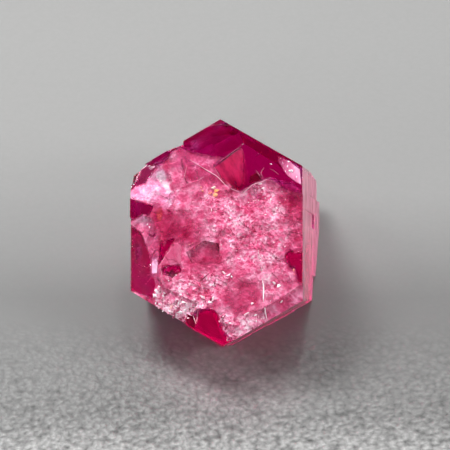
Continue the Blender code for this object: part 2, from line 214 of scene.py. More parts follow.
# looks: (cover, pale, grain, violet)
# soft and rag: how far the edge blends and how far it strays, to both sides, in mm
# outline: the corners as (u, v), in mm
EVERYWHERE = (0.70, 0.52, 0.30, 0.0)  # the looks between the regions
REGIONS = {
    "centre band": Region((0.80, 0.60, 0.8, 0.0), soft=0.5, rag=0.35, outline=[
        (-0.37, 1.91), (0.74, 1.91), (1.67, 1.30), (2.42, 0.84), (3.21, 0.37), (3.35, -0.79), (2.98, -1.95),
        (2.14, -1.72), (1.12, -1.35), (0.28, -0.88), (-0.09, 0.05), (-0.60, 0.84),
    ]),
    "upper right grains": Region((0.75, 0.60, 0.9, 0.0), soft=0.25, rag=0.2, outline=[
        (1.26, 1.86), (1.67, 2.19), (2.14, 2.51), (2.33, 2.19), (2.98, 2.00), (3.44, 1.30), (3.21, 0.51),
        (2.42, 0.88), (1.77, 1.35),
    ]),
    "right side": Region((0.55, 0.34, 0.4, 0.0), soft=0.4, rag=0.3, outline=[
        (2.8, 2.0), (3.21, 2.28), (4.3, 1.91), (4.3, -0.60), (3.44, -0.46), (3.3, 0.37), (3.1, 1.3),
    ]),
    "right crimson": Region((0.05, 0.25, 0.05, 0.25), soft=0.35, rag=0.3, outline=[
        (3.30, -0.93), (3.81, -0.60), (4.3, -0.79), (4.3, -2.37), (3.60, -2.37), (3.39, -1.53),
    ]),
    "brick": Region((0.55, 0.24, 0.05, 0.0), soft=0.35, rag=0.2, outline=[
        (-2.98, 1.16), (-2.37, 1.21), (-1.67, 0.98), (-1.12, 0.51), (-1.21, -0.33), (-1.86, -0.46),
        (-2.60, -0.42), (-3.02, 0.23),
    ]),
    "under the crown": Region((0.60, 0.42, 0.05, 0.1), soft=0.12, rag=0.05, outline=[
        (-1.9, 4.1), (-1.02, 3.9), (0.30, 3.6), (-0.10, 3.16), (0.28, 2.56), (0.56, 2.28), (-0.05, 2.19),
        (-0.74, 2.37), (-1.40, 2.56), (-2.0, 3.16),
    ]),
    "pale triangle": Region((0.95, 0.49, 0.0, 0.1), soft=0.05, rag=0.02, outline=[
        (-1.5, 3.9), (0.40, 3.6), (-0.10, 3.13), (-1.07, 3.30),
    ]),
    "crown": Region((0.0, 0.3, 0.0, 0.0), soft=0.06, rag=0.03, outline=[
        (-1.9, 4.18), (0.09, 5.8), (4.6, 3.3), (4.6, 1.77), (3.91, 2.00), (3.49, 2.33), (2.98, 2.46),
        (2.42, 2.56), (1.95, 2.42), (1.58, 2.28), (1.40, 2.14), (1.12, 1.95), (0.93, 2.05), (0.60, 2.37),
        (0.28, 2.56), (-0.14, 3.16), (0.30, 3.53), (-0.51, 3.67), (-1.02, 3.81), (-1.40, 3.88),
    ]),
    "corner patch": Region((0.80, 0.68, 0.2, 0.25), soft=0.1, rag=0.06, outline=[
        (2.84, 3.35), (3.30, 3.8), (4.4, 3.02), (4.4, 2.23), (3.53, 2.46), (3.16, 2.84),
    ]),
    "pale corner": Region((0.90, 0.72, 0.3, 0.15), soft=0.15, rag=0.12, outline=[
        (-4.4, 2.00), (-3.49, 2.37), (-3.07, 2.84), (-2.79, 3.12), (-2.46, 2.65), (-2.14, 2.09),
        (-1.91, 1.72), (-2.14, 1.30), (-2.51, 1.21), (-2.88, 1.35), (-3.39, 1.58), (-3.67, 1.49),
        (-4.4, 1.72),
    ]),
    # partly pale frost, partly painted glare: the frost is made white where the break gives a bright
    # reflection
    "glare": Region((1.0, 1.0, 0.1, 0.0), soft=0.08, rag=0.06, outline=[
        (-2.88, 2.88), (-2.60, 3.02), (-2.46, 2.60), (-2.23, 2.19), (-2.05, 1.95), (-2.33, 1.91),
        (-2.60, 2.28), (-2.79, 2.51),
    ]),
    "chip": Region((0.02, 0.2, 0.0, 0.3), soft=0.08, rag=0.04, outline=[
        (-4.4, 2.46), (-4.2, 3.3), (-3.53, 3.6), (-2.93, 3.21), (-3.12, 2.79), (-3.49, 2.37), (-4.4, 2.05),
    ]),
    "splinter": Region((0.12, 0.35, 0.0, 0.5), soft=0.08, rag=0.04, outline=[
        (-3.3, 3.5), (-2.23, 4.3), (-1.9, 3.95), (-2.33, 3.49), (-2.70, 3.16), (-2.98, 3.21),
    ]),
    "window": Region((0.0, 0.2, 0.0, 0.0), soft=0.05, rag=0.02, outline=[
        (-4.4, 1.72), (-3.67, 1.53), (-2.98, 1.30), (-3.07, 0.98), (-3.25, 0.84), (-3.49, 0.88),
        (-4.4, 0.50),
    ]),
    "ledge": Region((0.0, 0.3, 0.0, 0.0), soft=0.06, rag=0.03, outline=[
        (-4.4, 0.56), (-3.67, 0.09), (-3.49, -0.33), (-3.21, -0.88), (-3.12, -1.77), (-2.88, -2.37),
        (-3.07, -3.07), (-4.4, -2.60),
    ]),
    "ledge haze": Region((0.0, 0.3, 0.0, 0.5), soft=0.4, rag=0.3, outline=[
        (-4.09, -1.81), (-3.63, -1.44), (-3.16, -1.72), (-3.07, -2.28), (-3.25, -2.74), (-3.72, -2.65),
    ]),
    "ledge glow": Region((0.0, 0.0, 0.0, 0.8), soft=0.3, rag=0.2, outline=[
        (-4.28, -0.42), (-3.91, -0.14), (-3.67, -0.60), (-3.72, -1.35), (-4.00, -1.63), (-4.28, -1.35),
    ]),
    "crown left": Region((0.0, 0.0, 0.0, 0.35), soft=0.5, rag=0.3, outline=[
        (-1.49, 4.00), (-1.30, 4.51), (-0.09, 5.12), (0.46, 4.79), (0.28, 3.86), (-0.51, 3.81),
    ]),
    "crown glow": Region((0.24, 0.5, 0.0, 0.0), soft=0.15, rag=0.1, outline=[
        (-1.35, 4.37), (-0.98, 4.42), (-0.84, 4.09), (-1.21, 3.95),
    ]),
    "crown spot": Region((0.20, 0.4, 0.0, 0.0), soft=0.15, rag=0.1, outline=[
        (-0.51, 4.05), (-0.19, 4.09), (-0.05, 3.81), (-0.42, 3.67),
    ]),
    "ledge bit": Region((0.62, 0.60, 0.1, 0.05), soft=0.06, rag=0.03, outline=[
        (-4.05, 0.60), (-3.72, 0.84), (-3.49, 0.88), (-3.16, 0.74), (-3.07, 0.23), (-3.30, 0.14),
        (-3.58, 0.28),
    ]),
    "ledge rim": Region((0.52, 0.48, 0.1, 0.08), soft=0.08, rag=0.05, outline=[
        (-3.16, 0.74), (-3.07, 0.28), (-2.70, -0.46), (-2.79, -1.12), (-2.74, -1.72), (-2.56, -2.51),
        (-2.79, -2.98), (-3.02, -2.93), (-2.88, -2.37), (-3.12, -1.72), (-3.21, -0.84), (-3.49, -0.23),
        (-3.53, 0.51),
    ]),
    "dark wedge": Region((0.05, 0.2, 0.0, 0.0), soft=0.08, rag=0.03, outline=[
        (-2.67, -0.33), (-1.95, -0.23), (-2.46, -1.12), (-2.70, -1.44), (-2.77, -0.65),
    ]),
    "left triangle": Region((0.92, 0.45, 0.05, 0.05), soft=0.06, rag=0.04, outline=[
        (-2.67, -1.58), (-1.81, -0.46), (-1.67, -0.84), (-1.63, -1.44), (-2.28, -1.44),
    ]),
    "dark patch": Region((0.0, 0.2, 0.0, 0.0), soft=0.06, rag=0.04, outline=[
        (-2.65, -1.65), (-2.23, -1.46), (-1.74, -1.49), (-1.67, -1.77), (-2.28, -2.09), (-2.46, -2.05),
    ]),
    "hollow": Region((0.80, 0.30, 0.1, 0.0), soft=0.45, rag=0.3, outline=[
        (-1.63, -0.84), (-1.21, -0.46), (-0.51, -0.60), (0.19, -0.79), (0.37, -1.35), (-0.14, -1.72),
        (-0.74, -1.81), (-1.30, -1.53),
    ]),
    "lower grains": Region((0.75, 0.61, 1.0, 0.0), soft=0.25, rag=0.2, outline=[
        (-2.46, -1.85), (-1.67, -1.95), (-0.74, -1.91), (0.42, -1.72), (0.74, -2.42), (0.28, -2.93),
        (-0.74, -3.02), (-1.49, -3.21), (-2.37, -2.84), (-2.60, -2.33),
    ]),
    "white rim": Region((0.95, 0.80, 1.0, 0.0), soft=0.1, rag=0.15, outline=[
        (-3.02, -2.98), (-2.79, -2.46), (-2.46, -2.74), (-1.95, -3.12), (-1.49, -3.12), (-0.79, -2.93),
        (0.00, -3.07), (-0.51, -3.44), (-0.88, -3.58), (-1.16, -3.95), (-1.53, -4.09), (-1.81, -4.14),
        (-2.28, -3.81), (-2.98, -3.39),
    ]),
    "lower rose": Region((0.66, 0.45, 0.15, 0.0), soft=0.3, rag=0.2, outline=[
        (0.42, -2.42), (1.12, -2.14), (1.81, -2.19), (1.98, -2.93), (1.77, -3.53), (1.07, -3.63),
        (0.51, -3.30), (0.28, -2.84),
    ]),
    "right low": Region((0.70, 0.66, 0.5, 0.0), soft=0.2, rag=0.2, outline=[
        (2.1, -1.6), (3.2, -1.2), (3.55, -2.6), (2.6, -3.0), (2.2, -3.3),
    ]),
    "magenta corner": Region((0.72, 0.46, 0.4, 0.06), soft=0.2, rag=0.15, outline=[
        (2.35, -3.67), (2.60, -3.12), (3.09, -2.79), (4.3, -2.84), (4.3, -3.35), (2.42, -4.2),
    ]),
    "right rim": Region((0.86, 0.66, 0.8, 0.0), soft=0.08, rag=0.1, outline=[
        (0.14, -3.63), (0.51, -3.67), (0.93, -3.91), (1.60, -3.63), (1.98, -3.81), (2.42, -4.00),
        (2.14, -4.51), (1.07, -5.3), (0.56, -5.12), (0.42, -4.65), (0.05, -4.00),
    ]),
    "tongue": Region((0.0, 0.3, 0.0, 0.0), soft=0.03, rag=0.02, outline=[
        (-0.88, -3.67), (-0.56, -3.60), (-0.09, -3.63), (0.05, -3.91), (0.14, -4.37), (0.42, -4.74),
        (0.56, -5.12), (0.16, -5.8), (-1.6, -5.0), (-1.67, -4.23), (-1.30, -3.84), (-0.98, -3.91),
    ]),
}  # fmt: skip
print(len(REGIONS), "regions")

# %% Read the regions
RAG_SIZE = 0.8 * MM  # the size of the wisps that make the edges ragged


def noise_field(u, v, size, seed):
    """Soft wisps about this size at each of many places, from about -1 to 1. Each seed gives others."""
    spots = [Vector((a, b, seed * 3.7)) for a, b in zip(u / size, v / size)]
    return np.array([noise.fractal(spot, 0.65, 2.15, 5) for spot in spots])


def inside_distance(u, v, outline):
    """How far inside an outline each place is, in millimetres. Outside, the distance is negative."""
    nearest = np.full(u.shape, np.inf)
    is_inside = np.zeros(u.shape, bool)
    for (u0, v0), (u1, v1) in zip(outline, outline[1:] + outline[:1]):
        du, dv = u1 - u0, v1 - v0
        share = np.clip(((u - u0) * du + (v - v0) * dv) / (du * du + dv * dv), 0, 1)
        nearest = np.minimum(nearest, np.hypot(u - u0 - share * du, v - v0 - share * dv))
        if dv:
            is_inside ^= ((v0 > v) != (v1 > v)) & (u < u0 + (v - v0) * du / dv)
    return np.where(is_inside, nearest, -nearest)


def looks_at(u, v):
    """The looks of the break at each of many places, one row for each look."""
    wander_u = noise_field(u, v, RAG_SIZE, 1)
    wander_v = noise_field(u, v, RAG_SIZE, 2)
    looks = np.repeat(np.array(EVERYWHERE)[:, None], len(u), axis=1)
    for region in REGIONS.values():
        moved = (u / MM + region.rag * wander_u, v / MM + region.rag * wander_v)
        share = np.clip(inside_distance(*moved, region.outline) / region.soft * 0.5 + 0.5, 0, 1)
        share = share * share * (3 - 2 * share)
        looks += (np.array(region.looks)[:, None] - looks) * share
    return looks


def places_of(verts):
    """Where the vertices are on the end: all their u, and all their v."""
    return [np.array([vert.co[axis] for vert in verts]) for axis in (0, 1)]


# %% [markdown]
# ## The broken end
# A fresh break in a crystal is a landscape of small flat shards at every angle. The solid has its large
# forms in coarse flat triangles. Here a copy of it is cut finer, rounded a little, and then pushed up and
# down along the crystal's axis by a pattern of tilted shards. Every wall beside the break runs along that
# axis, so it stays flat. Noise on a flat mesh could only shade such shards, but here they really stand up,
# and bend the light that goes through them.

# %% Copy the solid into the crystal's frame
DOWN = (TO_CRYSTAL.to_3x3() @ Vector((0, 0, -1))).normalized()
CLEAN, BROKEN_END, FAR_END = 0, 1, 2
SHALLOWEST_BREAK, DEEPEST_BREAK = 0.02 * MM, 2.5 * MM
FACES_OUT = 0.35  # a broken face's normal runs along the axis by at least this share


def solid_copy():
    bm = bmesh.new()
    bm.from_mesh(SOLID.data)
    bmesh.ops.remove_doubles(bm, verts=bm.verts, dist=TINY)
    bmesh.ops.transform(bm, matrix=TO_CRYSTAL, verts=bm.verts)
    bmesh.ops.dissolve_limit(bm, angle_limit=math.radians(0.05), verts=bm.verts, edges=bm.edges)
    return bm


def mark_breaks(bm):
    """Marks each face as clean or broken in its material index, which its pieces keep when it is cut."""
    for face in bm.faces:
        depth = -face.calc_center_median().z
        if face.normal.z > FACES_OUT and SHALLOWEST_BREAK < depth < DEEPEST_BREAK:
            face.material_index = BROKEN_END
        elif face.normal.z < -FACES_OUT and face.normal.dot(DOWN) < 0.999:  # all but the flat cut
            face.material_index = FAR_END


def marked(bm, mark):
    return [face for face in bm.faces if face.material_index == mark]


def counts(bm):
    return [len(marked(bm, mark)) for mark in (CLEAN, BROKEN_END, FAR_END)]


bm = solid_copy()
mark_breaks(bm)
print("faces as cut:", counts(bm))

# %% Cut the breaks finer and round them
COARSE_EDGE, FINE_EDGE, FAR_EDGE = 0.14 * MM, 0.075 * MM, 0.25 * MM  # how long an edge may stay


def refine(bm, mark, size):
    """Cuts the long edges of the faces with this mark in half, again and again, until none is left."""
    while True:
        bmesh.ops.triangulate(bm, faces=marked(bm, mark), quad_method="SHORT_EDGE", ngon_method="BEAUTY")
        edges = {edge for face in marked(bm, mark) for edge in face.edges}
        long_edges = [edge for edge in edges if edge.calc_length() > size]
        if not long_edges:
            break
        bmesh.ops.subdivide_edges(bm, edges=long_edges, cuts=1)


def soften(bm, mark, times):
    """Rounds the faces with this mark, and leaves their rim where it is."""
    free = [
        vert for vert in bm.verts
        if vert.link_faces and all(face.material_index == mark for face in vert.link_faces)
    ]  # fmt: skip
    for _ in range(times):
        bmesh.ops.smooth_vert(bm, verts=free, factor=0.5, use_axis_x=True, use_axis_y=True, use_axis_z=True)


refine(bm, BROKEN_END, COARSE_EDGE)
soften(bm, BROKEN_END, 5)
refine(bm, BROKEN_END, FINE_EDGE)
soften(bm, BROKEN_END, 3)
refine(bm, FAR_END, FAR_EDGE)
print("faces now:", counts(bm))

# %% Shards
LOWEST_STEP = 0.004 * MM  # the break stays this far under the smooth end
SHARDS = (
    # size, height where the break is smooth, and how much more grain gives it, all in mm
    (0.75, 0.020, 0.080),
    (0.30, 0.004, 0.040),
    (0.11, 0.001, 0.022),
)


def shards(u, v, size, seed):
    """How high a break made of tilted flat shards stands here, from about -1 to 1."""
    spot = Vector((u / size + 7.31 * seed, v / size - 3.17 * seed, 0.5))
    centre = noise.voronoi(spot)[1][0]
    lean = noise.cell_vector(centre * 91.7 + Vector((0.5, 0.5, 0.5))) * 2 - Vector((1, 1, 1))
    return 0.5 * lean.z + 1.2 * (lean.x * (spot.x - centre.x) + lean.y * (spot.y - centre.y))


look_layer = bm.verts.layers.float_color.new("looks")
roughness = bm.verts.layers.float.new("roughness")
broken = list({vert for face in marked(bm, BROKEN_END) for vert in face.verts})
for vert, (cover, pale, grain, violet) in zip(broken, looks_at(*places_of(broken)).T):
    u, v = vert.co.x, vert.co.y
    rise = 0
    for seed, (size, smooth, grainy) in enumerate(SHARDS, start=1):
        rise += shards(u, v, size * MM, seed) * (smooth + grainy * grain) * MM
    vert.co.z = min(vert.co.z + rise, -LOWEST_STEP)
    vert[look_layer] = (cover, pale, grain, violet)
print(len(broken), "vertices stand up as shards")

# %% [markdown]
# ## Clear red beryl
# The clear crystal is coloured glass: plain transmission, beryl's refractive index, and an absorption that
# eats green most, blue less and red hardly at all. One closed mesh with one material carries it, because
# light must count the same skin on its way in and out. How polished each part of the skin is comes from an
# attribute: the old end is like glass, the sides are a little dull, and the far break is rough.

# %% Clear crystal material
BERYL_IOR = 1.57
CRIMSON = (0.9706, 0.30, 0.862, 1)  # what the absorption lets through
DEPTH_OF_COLOUR = 1500  # how strongly it absorbs, per metre


def clear_beryl():
    material, tree, shader = new_material(
        "clear_red_beryl", Base_Color=(1, 0.96, 0.98, 1), IOR=BERYL_IOR, Transmission_Weight=1.0
    )
    polish = node(tree, "ShaderNodeAttribute", attribute_name="roughness")
    tree.links.new(polish.outputs["Fac"], shader.inputs["Roughness"])
    volume = node(tree, "ShaderNodeVolumeAbsorption", {"Color": CRIMSON, "Density": DEPTH_OF_COLOUR})
    tree.links.new(volume.outputs["Volume"], tree.nodes["Material Output"].inputs["Volume"])
    return material


# %% Crystal body
ROUGH_END, ROUGH_BREAK, ROUGH_SIDE, ROUGH_FAR = 0.02, 0.06, 0.15, 0.5
NEARLY = 0.99  # a normal this close to a direction counts as pointing that way

for vert in bm.verts:
    marks = {face.material_index for face in vert.link_faces}
    if FAR_END in marks or any(face.normal.dot(DOWN) > NEARLY for face in vert.link_faces):
        vert[roughness] = ROUGH_FAR
    elif BROKEN_END in marks:
        vert[roughness] = ROUGH_BREAK
    elif any(face.normal.z > NEARLY for face in vert.link_faces):
        vert[roughness] = ROUGH_END
    else:
        vert[roughness] = ROUGH_SIDE

broken_copy, side_copy = bm.copy(), bm.copy()
unbroken = [face for face in broken_copy.faces if face.material_index != BROKEN_END]
bmesh.ops.delete(broken_copy, geom=unbroken, context="FACES")
for part in (bm, broken_copy):
    for face in part.faces:
        face.material_index = 0

skin = BVHTree.FromBMesh(bm)
body = piece("crystal_body", bm, clear_beryl())
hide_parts("crystal")

# %% [markdown]
# ## Frost
# Where the break is crumbled, air in its fine cracks scatters the light and it looks like pink sugar. It
# could be a mask in the body's material, but a solid body of glass wants one even skin. So the frost is a
# crust of its own, a hair thick, that lies on the break. Where it is thin the crimson shows through.

# %% Frost material
GRAIN = 0.12 * MM  # the size of one grain of the break
CRACKLE = 0.42 * MM  # the mesh of the pale fine cracks
PATCH = 0.9 * MM  # the size of the paler and the darker patches
FROST_COLOURS = [
    (0.0, (0.32, 0.003, 0.045)), (0.25, (0.52, 0.026, 0.11)), (0.5, (0.70, 0.095, 0.235)),
    (0.75, (0.86, 0.29, 0.47)), (1.0, (1.0, 0.72, 0.84)),
]  # fmt: skip
FROST_VIOLET = (0.62, 0.35, 1.0, 1)


def look_outputs(tree):
    looks = node(tree, "ShaderNodeAttribute", attribute_name="looks")
    parts = node(tree, "ShaderNodeSeparateColor", {"Color": looks.outputs["Color"]})
    return parts.outputs["Red"], parts.outputs["Green"], parts.outputs["Blue"], looks.outputs["Alpha"]


def fine_cracks(tree, place):
    """A net of thin lines, which noise bends and fades out in places."""
    bend = calculate_vector(tree, "MULTIPLY", clouds(tree, place, 0.5 * MM, 3)["Color"], (0.4 * MM,) * 3)
    bent = calculate_vector(tree, "ADD", place, bend["Vector"])["Vector"]
    inputs = {"Vector": bent, "Scale": 1 / CRACKLE}
    net = node(tree, "ShaderNodeTexVoronoi", inputs, feature="DISTANCE_TO_EDGE").outputs["Distance"]
    line = spread(tree, net, 0.0, 0.10, 1.0, 0.0)
    here = spread(tree, clouds(tree, place, 0.7 * MM, 2)["Fac"], 0.42, 0.62)
    return calculate(tree, "MULTIPLY", line, here)


def frost_material():
    material, tree, shader = new_material("frost", Roughness=0.35, IOR=BERYL_IOR, Specular_IOR_Level=0.2)
    place = object_place(tree)
    cover, pale, grain, violet = look_outputs(tree)
    grains = node(tree, "ShaderNodeTexVoronoi", {"Vector": place, "Scale": 1 / GRAIN}).outputs
    speckle = node(tree, "ShaderNodeSeparateColor", {"Color": grains["Color"]}).outputs
    line = fine_cracks(tree, place)

    patchy = calculate(tree, "MULTIPLY_ADD", clouds(tree, place, PATCH, 4)["Fac"], 0.9, -0.43)
    grainy = calculate(tree, "MULTIPLY_ADD", speckle["Red"], 0.4, -0.2)
    shade = calculate(tree, "MULTIPLY_ADD", grainy, grain, calculate(tree, "ADD", pale, patchy))
    shade = calculate(tree, "MULTIPLY_ADD", line, 0.12, shade)
    colour = multiplied(tree, violet, ramp(tree, shade, FROST_COLOURS), FROST_VIOLET)
    tree.links.new(colour, shader.inputs["Base Color"])

    covered = calculate(tree, "MULTIPLY_ADD", line, 0.22, cover)
    gaps = calculate(tree, "MULTIPLY_ADD", speckle["Green"], 0.3, -0.15)
    covered = calculate(tree, "MULTIPLY_ADD", gaps, grain, covered)
    thick = calculate(tree, "MULTIPLY_ADD", covered, 1.4, 0.2, clamp=True)
    tree.links.new(thick, shader.inputs["Alpha"])
    relief = {"Height": grains["Distance"], "Strength": 0.6, "Distance": 0.03 * MM}
    tree.links.new(node(tree, "ShaderNodeBump", relief).outputs["Normal"], shader.inputs["Normal"])
    return material


# %% Frost crust
CRUST_GAP = 0.005 * MM  # between the glass and the crust
CRUST_THICKNESS = 0.014 * MM
COVER_ENOUGH = 0.32  # the crust ends where it covers less than this
COVER_WISPS, PALE_WISPS = 0.35, 0.2  # how much soft wisps change the cover and the paleness

crust = broken_copy
layer = crust.verts.layers.float_color["looks"]
u, v = places_of(crust.verts)
wisps = noise_field(u, v, 0.45 * MM, 1)
tints = noise_field(u, v, 0.35 * MM, 2)
for vert, wisp, tint in zip(crust.verts, wisps, tints):
    cover, pale, grain, violet = vert[layer]
    vert[layer] = (cover - COVER_ENOUGH + COVER_WISPS * wisp, pale + PALE_WISPS * tint, grain, violet)
bare = [face for face in crust.faces if max(vert[layer][0] for vert in face.verts) < 0]
bmesh.ops.delete(crust, geom=bare, context="FACES")
bmesh.ops.translate(crust, verts=crust.verts, vec=(0, 0, CRUST_GAP + CRUST_THICKNESS))
bmesh.ops.solidify(crust, geom=crust.faces[:], thickness=CRUST_THICKNESS)
bmesh.ops.recalc_face_normals(crust, faces=crust.faces)
piece("frost", crust, frost_material())

# %% [markdown]
# ## Dust on the sides
# The prism's sides grew in contact with the rock. They are a little matte, with fine growth lines that run
# across the axis, most of all on the right. A thin crust with gaps gives them that, as on the break, over
# the clear glass.

# %% Side dust material
DUST_NOISES = (
    # how often each noise changes across the axis and along it, per mm
    (0.5, 5),
    (0.8, 16),
    (0.9, 1.5),
)
DUST_COLOURS = [(0.4, (0.76, 0.30, 0.42)), (0.65, (0.92, 0.52, 0.62))]


def dust_material():
    material, tree, shader = new_material("dust", Roughness=0.5, IOR=BERYL_IOR, Specular_IOR_Level=0.3)
    place = node(tree, "ShaderNodeAttribute", attribute_name="crystal").outputs["Vector"]
    noises = []
    for across, along in DUST_NOISES:
        spot = calculate_vector(tree, "MULTIPLY", place, (across, across, along))["Vector"]
        noises.append(clouds(tree, spot, 1, 3)["Fac"])
    lines, fine_lines, cloudy = noises
    fine = calculate(tree, "MULTIPLY_ADD", fine_lines, 0.2, 0.175)
    streaks = calculate(tree, "MULTIPLY_ADD", lines, 0.45, fine)
    tree.links.new(ramp(tree, streaks, DUST_COLOURS), shader.inputs["Base Color"])
    thick = calculate(tree, "MULTIPLY_ADD", cloudy, 0.6, streaks)
    cover = calculate(tree, "MULTIPLY_ADD", thick, 1.4, -0.62, clamp=True)
    share = node(tree, "ShaderNodeAttribute", attribute_name="dusty").outputs["Fac"]
    tree.links.new(calculate(tree, "MULTIPLY", cover, share), shader.inputs["Alpha"])
    return material


# %% Side dust
SIDE_REACH = 3.6 * MM  # a side of the prism is at least this far from the axis
UPRIGHT = 0.2  # how little a side's normal may lean along the axis
DUSTY_EDGE = 0.4 * MM  # how long an edge of the dust may stay
DUST_FADE = 0.14  # how much thinner the dust on the right gets, for each mm below v = 1
THIN_DUST = 0.06  # how much of it lies on the other sides


def is_side(face):
    """Whether this is part of one of the prism's own sides, and not of a step in the break or the base."""
    centre = face.calc_center_median().xy
    outward = centre.length > SIDE_REACH and face.normal.xy.dot(centre.normalized()) > 0.2
    return face.material_index == CLEAN and abs(face.normal.z) < UPRIGHT and outward


def dust_share(vert):
    """How dusty the side is here."""
    if vert.normal.x > 0.35 and vert.normal.y < 0.3:
        return 1 - DUST_FADE * max(0, 1 - vert.co.y / MM)
    return THIN_DUST


dust = side_copy
sides = {face for face in dust.faces if is_side(face) and face.normal.dot(DOWN) < 0.9}
bmesh.ops.delete(dust, geom=[face for face in dust.faces if face not in sides], context="FACES")
refine(dust, CLEAN, DUSTY_EDGE)
dust.normal_update()
where = dust.verts.layers.float_vector.new("crystal")
dusty = dust.verts.layers.float.new("dusty")
for vert in dust.verts:
    vert[where] = vert.co / MM
    vert[dusty] = dust_share(vert)
    vert.co += vert.normal * CRUST_GAP
grown = bmesh.ops.extrude_face_region(dust, geom=dust.faces[:], use_keep_orig=True)["geom"]
for vert in [part for part in grown if isinstance(part, bmesh.types.BMVert)]:
    vert.co += vert.normal * CRUST_THICKNESS
bmesh.ops.recalc_face_normals(dust, faces=dust.faces)
piece("side_dust", dust, dust_material())

# %% [markdown]
# ## Veils
# A crystal like this is full of healed cracks: wavy sheets of tiny bubbles, which look like pink smoke
# frozen in the clear red. Real volume scattering would be slow and grainy, so each veil is a closed sheet,
# thinner than a hair, that hangs inside the body. Its wisps are thick under the frost and thin elsewhere.
# The silky flakes further down are sheets too, so their material is made here in the same way.

# %% Veil material
VEIL_COLOURS = [
    (0.0, (0.85, 0.10, 0.30)), (0.3, (0.98, 0.35, 0.50)), (0.6, (1.0, 0.70, 0.80)), (1.0, (1.0, 0.95, 0.98)),
]  # fmt: skip
SILK_COLOURS = [
    (0.2, (0.75, 0.02, 0.12)), (0.4, (0.96, 0.062, 0.23)), (0.6, (1.0, 0.13, 0.34)), (1.0, (1.0, 0.60, 0.75)),
]  # fmt: skip
VIOLET = (0.70, 0.30, 1.0, 1)
ORANGE = (1.0, 0.50, 0.12, 1)


def dyed(tree, colour, violet):
    """The colour, turned to violet by this much, or to orange below zero."""
    for sign, dye in ((1.0, VIOLET), (-1.0, ORANGE)):
        share = calculate(tree, "MULTIPLY", violet, sign, clamp=True)
        colour = multiplied(tree, share, colour, dye)
    return colour


def sheet_material(name, colours, through):
    """A thin sheet's material. It reads its looks, and lets this share of the light through as glass does."""
    material, tree, shader = new_material(
        name, Roughness=0.8, IOR=BERYL_IOR, Transmission_Weight=through, Specular_IOR_Level=0.1
    )
    cover, pale, grain, violet = look_outputs(tree)
    tree.links.new(dyed(tree, ramp(tree, pale, colours), violet), shader.inputs["Base Color"])
    tree.links.new(cover, shader.inputs["Alpha"])
    return material


VEIL = sheet_material("veil", VEIL_COLOURS, 0.3)
FLAKE = sheet_material("flake", FROST_COLOURS, 0.0)
SILK = sheet_material("silk", SILK_COLOURS, 0.0)

# %% Veils
END_WIDTH, END_HEIGHT = 10.6 * MM, 11.4 * MM  # a little more than the end
VEIL_CELL = 0.09 * MM
SHEET_THICKNESS = 0.01 * MM
FROM_SKIN = 0.1 * MM  # a veil ends this far under the skin
WAVE_SIZE, WAVE_HEIGHT = 1.6 * MM, 0.16 * MM
WISP_SIZE = 0.7 * MM
TOO_THIN = 0.03  # a veil's cell that covers less than this is left out


def is_inside(place, margin):
    """Whether this place is inside the crystal, and at least the margin from its skin."""
    crossings, start = 0, place
    while (hit := skin.ray_cast(start, Vector((0, 0, 1)))[0]) is not None:
        crossings += 1
        start = hit + Vector((0, 0, TINY))
    return crossings % 2 == 1 and skin.find_nearest(place)[3] > margin


def veil(name, depth, seed, dense):
    """A wavy sheet at this depth below the old end, thickest under the frost."""
    bm = bmesh.new()
    cells = (int(END_WIDTH / VEIL_CELL), int(END_HEIGHT / VEIL_CELL))
    bmesh.ops.create_grid(bm, x_segments=cells[0], y_segments=cells[1], size=0.5)
    bmesh.ops.scale(bm, verts=bm.verts, vec=(END_WIDTH, END_HEIGHT, 1))
    layer = bm.verts.layers.float_color.new("looks")
    u, v = places_of(bm.verts)
    waves = noise_field(u, v, WAVE_SIZE, seed)
    wisps = noise_field(u, v, WISP_SIZE, seed + 5)
    for vert, wave, wisp, (cover, pale, grain, violet) in zip(bm.verts, waves, wisps, looks_at(u, v).T):
        vert.co.z = -depth + WAVE_HEIGHT * wave
        cover = max(cover, 0.4 * violet)
        thick = dense * (cover - 0.05) + 0.55 * wisp * (0.3 + cover) * min(1, 4 * cover)
        vert[layer] = (thick, pale + 0.15 * wisp, grain, violet)
    gone = [
        face for face in bm.faces
        if max(vert[layer][0] for vert in face.verts) < TOO_THIN
        or not is_inside(face.calc_center_median(), FROM_SKIN)
    ]  # fmt: skip
    bmesh.ops.delete(bm, geom=gone, context="FACES")
    bmesh.ops.solidify(bm, geom=bm.faces[:], thickness=SHEET_THICKNESS)
    bmesh.ops.recalc_face_normals(bm, faces=bm.faces)
    piece(name, bm, VEIL)


veil("veil_upper", 0.80 * MM, 3, 0.75)
veil("veil_lower", 1.6 * MM, 8, 1.0)

# %% [markdown]
# ## Cracks, chips and glints
# Up close the break is full of small single things. Thin bright lines are the edges of cracks. White
# crumbs are chips that lie loose along the rim. A few turn orange, where iron has stained them. All of
# them are modelled, so that each one catches the light by itself. They share one material, which reads
# how pale and how violet each piece is, and below zero violet turns to orange.
# The listed glints are chips too, but their pale colour is partly painted highlight, set where the break
# glints.

# %% Material of the marks
MARK_COLOURS = [
    (0.0, (0.06, 0.0, 0.012)), (0.25, (0.30, 0.02, 0.08)), (0.5, (0.46, 0.10, 0.19)),
    (0.75, (0.85, 0.36, 0.50)), (1.0, (1.0, 0.90, 0.95)),
]  # fmt: skip


def mark_material():
    material, tree, shader = new_material("marks", Roughness=0.15, IOR=BERYL_IOR)
    cover, pale, grain, violet = look_outputs(tree)
    tree.links.new(dyed(tree, ramp(tree, pale, MARK_COLOURS), violet), shader.inputs["Base Color"])
    tree.links.new(cover, shader.inputs["Alpha"])
    return material


MARKS = mark_material()

# %% Find the skin
DEEPEST_MARK = 1.5 * MM


def surface(u, v):
    """The height of the body's skin, in metres, at a place in millimetres. Off the crystal it is None."""
    hit = skin.ray_cast(Vector((u, v, 5)) * MM, Vector((0, 0, -1)))[0]
    return hit.z if hit and hit.z > -DEEPEST_MARK else None


